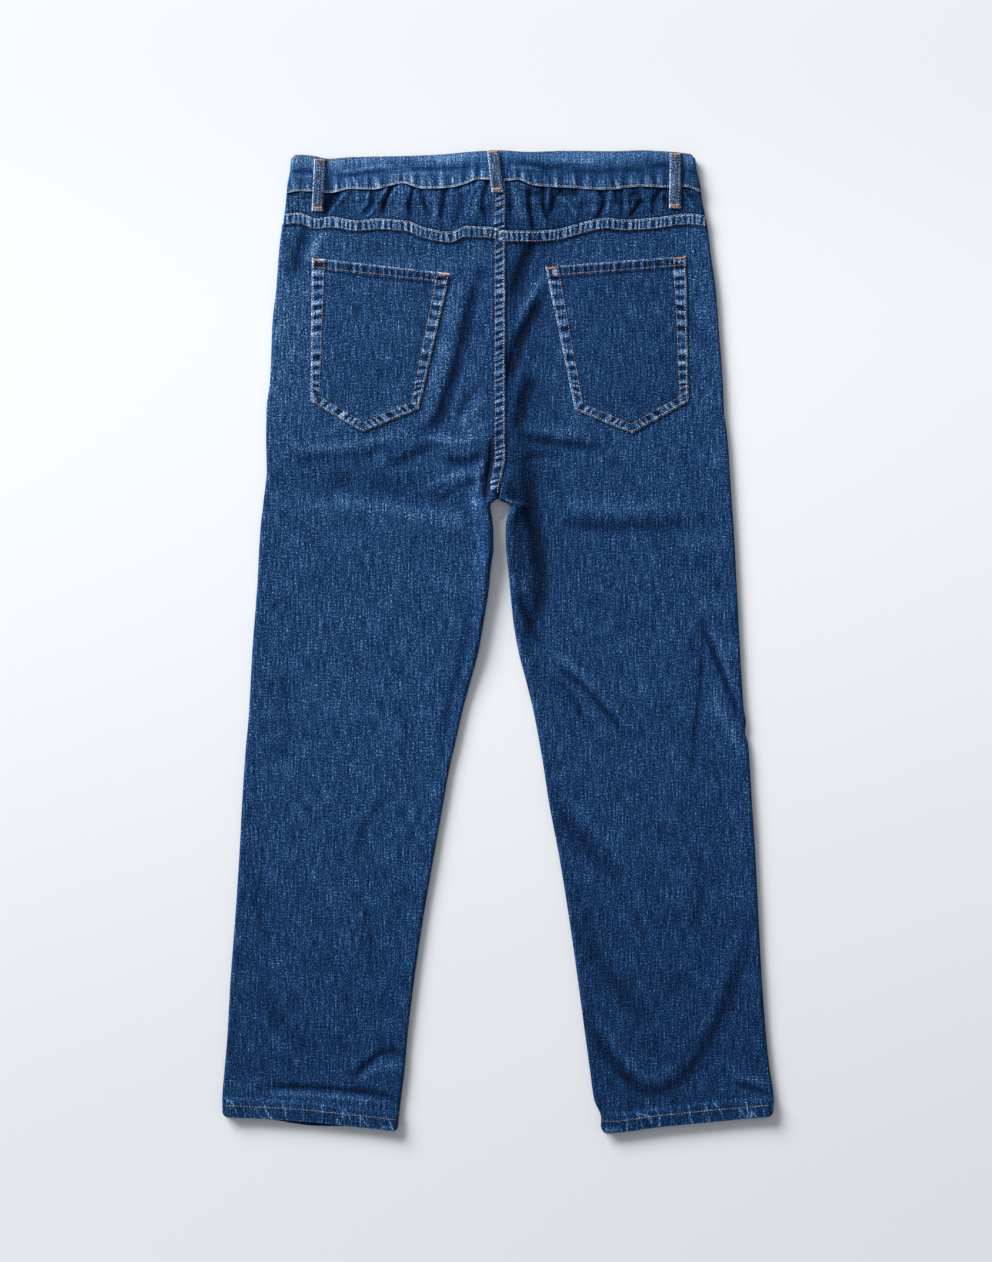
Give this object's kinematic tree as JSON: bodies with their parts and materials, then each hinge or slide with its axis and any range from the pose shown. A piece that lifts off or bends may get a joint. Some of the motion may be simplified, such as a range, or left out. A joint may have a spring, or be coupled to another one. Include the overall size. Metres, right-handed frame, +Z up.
{
  "type": "slim jeans",
  "caption": "Slim denim jeans laid flat back side up: gathered elastic waistband with belt loops, yokes, patch pockets and straight slim legs with turned hems.",
  "frame": {"origin": "on the resting surface, under the middle of the garment's box", "axes": "+X to the right seen from above with the waist at the top, +Y from the hems to the waist, +Z up, away from the surface"},
  "size_m": [0.5796, 1.0322, 0.0149],
  "materials": {
    "denim": "mid-blue stretch denim twill, slubbed, with abraded seam edges",
    "denim_worn": "paler abraded denim of the belt loops",
    "zip_tape": "woven navy zip tape with a metal chain",
    "brass": "aged brass"
  },
  "bodies": {
    "root": {"back_left": "denim", "back_right": "denim", "yoke_left": "denim", "yoke_right": "denim", "pocket_left": "denim", "pocket_right": "denim", "waistband_back": "denim", "waistband_front_left": "denim", "waistband_front_right": "denim", "front_left": "denim", "front_right": "denim", "loop_back_left": "denim_worn", "loop_back_centre": "denim_worn", "loop_back_right": "denim_worn", "loop_front_left": "denim_worn", "loop_front_right": "denim_worn", "fly_zip": "zip_tape", "band_button": "brass"}
  },
  "joints": []
}
